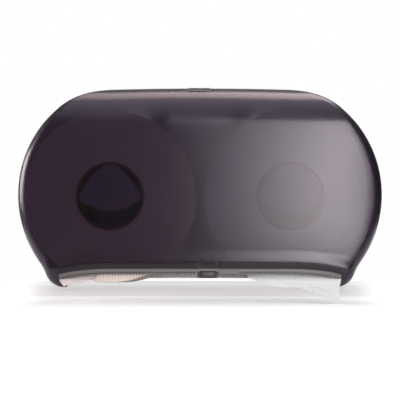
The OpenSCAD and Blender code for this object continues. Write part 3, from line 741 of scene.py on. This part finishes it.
class DISPENSER_OT_rolls(bpy.types.Operator):
    """Winds the two rolls: soft-edged rings of tissue with fine ridges on their sides, on card cores"""

    bl_idname = "dispenser.rolls"
    bl_label = "Rolls"

    def execute(self, context):
        s = context.scene.paper
        card = finish(spiral_wound_card, s.card)
        chance = np.random.default_rng(s.seed)
        for side, name, tint in ((-1, "left", s.warm), (1, "right", s.white)):
            radii = np.linspace(CORE_OUT + 0.6, ROLL_R - SOFT, 150)
            uneven = np.convolve(chance.normal(0, 1, 156), np.ones(7) / 2.65, "valid") * s.loose / MM
            profile = [(CORE_OUT, ROLL_Y0 - 0.6), (CORE_OUT, ROLL_Y1 + 0.6)]
            profile += [(r, ROLL_Y1 + 0.3 + max(-0.3, u)) for r, u in zip(radii, uneven)]
            profile += [(ROLL_R - SOFT * (1 - math.sin(a)), ROLL_Y1 + SOFT * (1 - math.cos(a)))
                        for a in np.linspace(0.3, math.pi / 2, 6)]
            profile += [(ROLL_R - SOFT * (1 - math.cos(a)), ROLL_Y0 - SOFT * (1 - math.sin(a)))
                        for a in np.linspace(0, math.pi / 2 - 0.3, 6)]
            profile += [(r, ROLL_Y0 - 0.2) for r in np.linspace(111, 46, 5)]
            tissue = finish(wound_tissue, tint, name=name + "_wound_tissue")
            roll = revolve(name + "_roll_paper", profile, (side * HUB_X, ROLL_Z), tissue, 50)
            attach(roll, name + "_roll")
            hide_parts(name + "_paper")
            core = [(CORE_IN, ROLL_Y0 - 0.4), (CORE_IN, ROLL_Y1 + 0.4), (CORE_IN + 0.4, ROLL_Y1),
                    (CORE_OUT - 0.4, ROLL_Y1), (CORE_OUT, ROLL_Y1 + 0.4), (CORE_OUT, ROLL_Y0 - 0.4),
                    (CORE_OUT - 0.4, ROLL_Y0), (CORE_IN + 0.4, ROLL_Y0)]
            tube = revolve(name + "_roll_core", core, (side * HUB_X, ROLL_Z), card, 40)
            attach(tube, name + "_roll")
            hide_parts(name + "_core")
        return {"FINISHED"}


# ---------- paper tails ----------

# the sheets start behind the lip, and come forward below the bars to hang in front of them
TAIL_TOP, TAIL_Y, BELLY = -97.0, -122.6, 8.6
# (x, z) of the torn edges and of the fold line, in millimetres
LEFT_EDGE = [(-180.9, -110.5), (-178.2, -117.6), (-176.5, -119.4), (-171, -116.6), (-169.4, -121), (-168, -124.6),
             (-166.2, -120), (-164.4, -115.4), (-153, -114.8), (-143, -112.8), (-135, -108.4)]
RIGHT_EDGE = [(62, -107), (65, -109.5), (84.6, -117), (101, -119.8), (113, -120.9), (125, -120.9), (134, -123),
              (142, -125.9), (157.7, -133.2), (169.4, -138), (180.9, -138.9)]
CREASE = [(147, -120.6), (159, -124.6), (172, -130.2)]


def tail_sheet(name, edge, material, crease=None, across=120, down=26):
    """A thin sheet that hangs from behind the lip and bellies forward, with its width, length and area."""
    xs = np.linspace(edge[0][0], edge[-1][0], across)
    lows = np.interp(xs, *zip(*edge))
    lows = lows + 0.25 * np.sin(xs * 3.1) + 0.18 * np.sin(xs * 7.7 + 1)
    share = np.linspace(0, 1, down)
    x, z = np.broadcast_to(xs[:, None], (across, down)), TAIL_TOP + (lows[:, None] - TAIL_TOP) * share
    # forward over the 10 mm below z = -103, in soft waves that grow towards the torn edge
    belly = np.clip((-103 - z) / 10, 0, 1)
    y = TAIL_Y - BELLY * belly * belly * (3 - 2 * belly) + 0.9 * np.sin(np.radians((x - xs[0]) * 5)) * share
    y = y + 0.35 * np.sin(x * 0.21 + z * 0.13) * share
    if crease:
        # a fold line that runs beside the torn edge
        line = np.interp(x, *zip(*crease), left=-500, right=-500)
        y = y + 1.4 * np.exp(-np.square((z - line) / 0.8))
    # the feet narrow towards their tips, and the sheet's outer edge with them
    x = np.where(np.abs(x) > 170, x * (1 - 0.0145 * np.clip((-109.5 - z) / 10, 0, 1)), x)
    points = np.stack([x, y, z], 2)
    front, back = (points + np.array([0, side, 0]) for side in (-0.09, 0.09))
    n = across * down
    faces = grid_faces(across, down) + [f[::-1] for f in grid_faces(across, down, n)]
    for line in (range(0, n, down), range(down - 1, n, down), range(down), range(n - down, n)):
        faces += [[a, b, n + b, n + a] for a, b in zip(line, line[1:])]
    made = solid(name, [*front.reshape(-1, 3), *back.reshape(-1, 3)], faces, material, 60)
    fall = np.linalg.norm(np.diff(points, axis=1), axis=2).sum(axis=1)
    wide = edge[-1][0] - edge[0][0]
    return made, wide * MM, fall.max() * MM, fall.mean() * wide * MM * MM


class DISPENSER_OT_tails(bpy.types.Operator):
    """Hangs the loose ends of the two rolls below the tear bars"""

    bl_idname = "dispenser.tails"
    bl_label = "Paper tails"

    def execute(self, context):
        s = context.scene.paper
        # the loose ends take the darker tones, painted shade on the rolls' own tissue
        ends = (("left", LEFT_EDGE, s.left_end_shaded, None), ("right", RIGHT_EDGE, s.right_end_shaded, CREASE))
        for side, edge, tint, crease in ends:
            tissue = finish(embossed_tissue, tint, name=side + "_tissue")
            tail, wide, long, area = tail_sheet(side + "_tail_sheet", edge, tissue, crease)
            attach(tail, "wall_unit")
            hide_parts(side + "_tail")
        return {"FINISHED"}


# ---------- screws and rivets ----------


def head_tree():
    """Geometry nodes: one head on every seat point, sized by the point's head_size and turned at random."""
    tree, given = node_group("heads_on_seats", Seats="Geometry", Head="Object", Seed="Int", Material="Material")
    head = add(tree, "GeometryNodeObjectInfo", {"Object": given["Head"]}).outputs["Geometry"]
    turn = add(tree, "FunctionNodeRandomValue", {"Min": 0.0, "Max": 1.5, "Seed": given["Seed"]}, data_type="FLOAT")
    spin = add(tree, "CombineXYZ", {"Y": turn})
    scale = add(tree, "GeometryNodeInputNamedAttribute", {"Name": "head_size"}, data_type="FLOAT")
    copies = add(tree, "GeometryNodeInstanceOnPoints", {
        "Points": given["Seats"], "Instance": head, "Rotation": spin, "Scale": scale})
    end_group(tree, copies, given["Material"])
    return tree


def turned(profile, steps):
    """Rings of points about the y axis, one for each (y, radius) of a profile."""
    angles = np.linspace(0, 2 * math.pi, steps, endpoint=False)
    return [(r * math.cos(a), y, r * math.sin(a)) for y, r in profile for a in angles]


def pan_head(material):
    """Pan head of radius 1 with a tapered cross recess, its seat at y = 0, facing the user."""
    steps = 32
    # depth and radius of the rings from the seat to the flat top
    profile = [(0.0, 1.0), (-0.14, 1.0), (-0.3, 0.97), (-0.44, 0.88), (-0.54, 0.74), (-0.58, 0.62)]
    top = (len(profile) - 1) * steps
    work = bmesh.new()
    points = [work.verts.new(v) for v in turned(profile, steps)]
    for f in ring_faces(len(profile), steps)[:-1]:
        work.faces.new([points[i] for i in f])
    rings = []
    # half width, reach and depth of the recess at its rim and at its floor
    for w, l, y in ((0.1, 0.46, -0.58), (0.06, 0.3, -0.3)):
        cross = ((w, w), (l, w), (l, -w), (w, -w), (w, -l), (-w, -l),
                 (-w, -w), (-l, -w), (-l, w), (-w, w), (-w, l), (w, l))
        rings.append([work.verts.new((x, y, z)) for x, z in cross])
    for i in range(12):
        work.faces.new([rings[0][i], rings[0][(i + 1) % 12], rings[1][(i + 1) % 12], rings[1][i]])
    work.faces.new(rings[1])
    work.edges.ensure_lookup_table()
    rim = [work.edges.get((points[top + i], points[top + (i + 1) % steps])) for i in range(steps)]
    slot = [work.edges.get((rings[0][i], rings[0][(i + 1) % 12])) for i in range(12)]
    bmesh.ops.triangle_fill(work, use_beauty=True, use_dissolve=False, edges=rim + slot)
    bmesh.ops.recalc_face_normals(work, faces=work.faces)
    made = mesh_object("pan_head", [], [], material)
    work.to_mesh(made.data)
    work.free()
    shade(made, 35)
    return made


def rivet_head(material):
    """Domed head of radius 1 with a flat rim, facing away from the user."""
    # depth and radius
    profile = [(0.0, 1.0), (0.12, 1.0), (0.3, 0.86), (0.44, 0.62), (0.5, 0.34)]
    verts = [[c / MM for c in p] for p in turned(profile, 24)]
    return solid("rivet_head", verts, ring_faces(len(profile), 24), material, 50, 0.0001)


# (x, z) of a hub's screw ears about its middle
EARS = [(62 * math.cos(math.radians(a)), 62 * math.sin(math.radians(a))) for a in (90, 210, 330)]
# CAD node, body and seats, each seat a point in millimetres and a share of the head's radius
HEADS = {
    "left_hub_screw_heads": ("left_hub_screws", "wall_unit", [(-HUB_X + x, -6, z, 1.0) for x, z in EARS]),
    "right_hub_screw_heads": ("right_hub_screws", "wall_unit", [(HUB_X + x, -6, z, 1.0) for x, z in EARS]),
    "bracket_screw_heads": ("bracket_screws", "wall_unit",
                            [(x, -6, z, 0.9) for x in (-62, 62) for z in (111.5, 128.5)]),
    "arm_screw_heads": ("arm_screws", "wall_unit", [(LOCK_X + x, -6, -97, 0.65) for x in (-9.2, 9.2)]),
    "bar_rivet_heads": ("bar_rivets", "cover",
                        [(x, BAR_Y1, lip(x) + 4.5, 1.0) for x in (-150, -90, -30, 50, 100, 150)]),
}


class DISPENSER_OT_fasteners(bpy.types.Operator):
    """Sets the pan head screws of hubs, brackets and arm, and the rivets behind the tear bars"""

    bl_idname = "dispenser.fasteners"
    bl_label = "Screws and rivets"

    def execute(self, context):
        s = context.scene.unit
        steel, smoke = finish(zinc_plated_steel, s.steel), finish(smoke_grey_styrene, context.scene.bars)
        tree = head_tree()
        pan, dome = pan_head(steel), rivet_head(smoke)
        for name, (node, body, seats) in HEADS.items():
            rivet = name == "bar_rivet_heads"
            head, material, radius = (dome, smoke, s.rivet) if rivet else (pan, steel, s.screw)
            piece = mesh_object(name, [seat[:3] for seat in seats], [], material)
            data = piece.data.attributes.new("head_size", "FLOAT", "POINT").data
            for value, seat in zip(data, seats):
                value.value = seat[3] * radius
            run_group(piece, tree, Head=head, Seed=4, Material=material)
            shade(piece, 40)
            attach(piece, body)
            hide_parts(node)
        bpy.data.objects.remove(pan)
        bpy.data.objects.remove(dome)
        return {"FINISHED"}


# ---------- wall unit ----------


class DISPENSER_OT_wall_unit(bpy.types.Operator):
    """Gives the wall plate, brackets, arm and steel parts their finishes"""

    bl_idname = "dispenser.wall_unit"
    bl_label = "Wall plate and hinge"

    def execute(self, context):
        s = context.scene.unit
        grey = finish(moulded_abs, s.plate, 0.5, name="light_grey_abs")
        violet = finish(moulded_abs, s.hub, 0.45, name="violet_grey_abs")
        steel = finish(zinc_plated_steel, s.steel)
        repaint(grey, "back_plate", "plate_rim", "plate_ribs")
        repaint(violet, "left_hinge_bracket", "right_hinge_bracket", "lock_arm", "hinge_lugs")
        repaint(steel, "hinge_rod", "rod_clips", "strike_plate", "lock_bolt")
        return {"FINISHED"}


# ---------- stage ----------


def softbox(name, place, target, wide, high, level, tint="ffffff", left=1.0, foot=1.0, curve=1.0, gloss=True):
    """A softbox, in metres and of that radiance, turned to a target and dimmer towards its left side and its foot.

    Gloss says whether it shows in reflections.
    """
    data = bpy.data.lights.new(name, "AREA")
    data.shape, data.size, data.size_y = "RECTANGLE", wide, high
    data.energy, data.color = level * math.pi * wide * high, linear(tint)
    data.use_nodes = True
    tree = data.node_tree
    tree.nodes.clear()
    spot = add(tree, "SeparateXYZ", {0: add(tree, "NewGeometry").outputs["Parametric"]}).outputs
    ramp = add(tree, "MapRange", {"Value": spot["X"], "To Min": left})
    across = add(tree, "Math", {0: ramp, 1: curve}, operation="POWER")
    up = add(tree, "MapRange", {"Value": spot["Y"], "To Min": foot})
    power = add(tree, "Math", {0: across, 1: up}, operation="MULTIPLY")
    glow = add(tree, "Emission", {"Strength": power})
    add(tree, "OutputLight", {"Surface": glow})
    lamp = bpy.data.objects.new(name, data)
    bpy.context.scene.collection.objects.link(lamp)
    lamp.location = place
    lamp.rotation_euler = (Vector(target) - Vector(place)).to_track_quat("-Z", "Y").to_euler()
    lamp.visible_camera, lamp.visible_glossy, lamp.visible_transmission = False, gloss, gloss


class DISPENSER_OT_stage(bpy.types.Operator):
    """Sets up the pale floor, the soft lamps, the white surroundings and the camera"""

    bl_idname = "dispenser.stage"
    bl_label = "Stage"

    def execute(self, context):
        s = context.scene.stage
        z = -s.drop / MM
        corners = [(-6000, -3000, z), (6000, -3000, z), (6000, 9000, z), (-6000, 9000, z)]
        floor = mesh_object("floor", corners, [[0, 1, 2, 3]], finish(matt_white_floor, s))
        softbox("key", (0.215, -1.03, 0.27), (0.215, 0.0, 0.27), 0.83, 0.58, 10.2, left=0.0, foot=0.9, curve=2.1)
        softbox("overhead", (0.1, 0.04, 1.15), (0.1, 0.06, 0.1), 1.3, 0.5, 3.5, "fff2f2", left=0.45)
        softbox("left_strip", (-1.15, -0.25, 0.33), (-0.24, -0.13, 0.0), 0.6, 0.45, 6.6, "fff6f1", foot=0.6)
        softbox("front_fill", (0.0, -0.82, 1.15), (0.0, -0.1, 0.1), 1.6, 1.05, 0.85, "e8e9ff", foot=0.35)
        softbox("low_fill", (0.0, -0.8, -0.112), (0.0, -0.12, -0.112), 0.9, 0.055, 15.0, gloss=False)
        world = bpy.data.worlds.new("studio")
        context.scene.world = world
        world.use_nodes = True
        world.node_tree.nodes.clear()
        white_surroundings(world.node_tree)
        data = bpy.data.cameras.new("camera")
        # the photo is 400 px wide, and its focal length was fitted as 354.7 px
        data.sensor_width, data.lens = 36, 36 * 354.7 / 400
        data.shift_y = 0.2
        data.clip_start, data.clip_end = 0.01, 50
        camera = bpy.data.objects.new("camera", data)
        context.scene.collection.objects.link(camera)
        camera.location = (0.0, -0.585, -0.1111)
        camera.rotation_euler = (math.pi / 2, 0, 0)
        context.scene.camera = camera
        context.scene.view_settings.view_transform = "Standard"
        return {"FINISHED"}


OPERATORS = (DISPENSER_OT_cover, DISPENSER_OT_bars, DISPENSER_OT_lock, DISPENSER_OT_hubs, DISPENSER_OT_rolls,
             DISPENSER_OT_tails, DISPENSER_OT_fasteners, DISPENSER_OT_wall_unit, DISPENSER_OT_stage)


class DISPENSER_PT_panel(bpy.types.Panel):
    """Lists the dispenser's settings and the operators that build it"""

    bl_label = "Jumbo Roll Dispenser"
    bl_idname = "DISPENSER_PT_panel"
    bl_space_type = "VIEW_3D"
    bl_region_type = "UI"
    bl_category = "Dispenser"

    def draw(self, context):
        for key, group in GROUPS.items():
            box = self.layout.box()
            box.label(text=key.capitalize())
            for name in group.__annotations__:
                box.prop(getattr(context.scene, key), name)
        for operator in OPERATORS:
            self.layout.operator(operator.bl_idname)


def register():
    for cls in (*GROUPS.values(), *OPERATORS, DISPENSER_PT_panel):
        bpy.utils.register_class(cls)
    for key, group in GROUPS.items():
        setattr(bpy.types.Scene, key, PointerProperty(type=group))


def unregister():
    for key in GROUPS:
        delattr(bpy.types.Scene, key)
    for cls in (DISPENSER_PT_panel, *OPERATORS[::-1], *list(GROUPS.values())[::-1]):
        bpy.utils.unregister_class(cls)


def main():
    register()
    bpy.ops.dispenser.cover()
    bpy.ops.dispenser.bars()
    bpy.ops.dispenser.lock()
    bpy.ops.dispenser.hubs()
    bpy.ops.dispenser.rolls()
    bpy.ops.dispenser.tails()
    bpy.ops.dispenser.fasteners()
    bpy.ops.dispenser.wall_unit()
    bpy.ops.dispenser.stage()


if __name__ == "__main__":
    main()
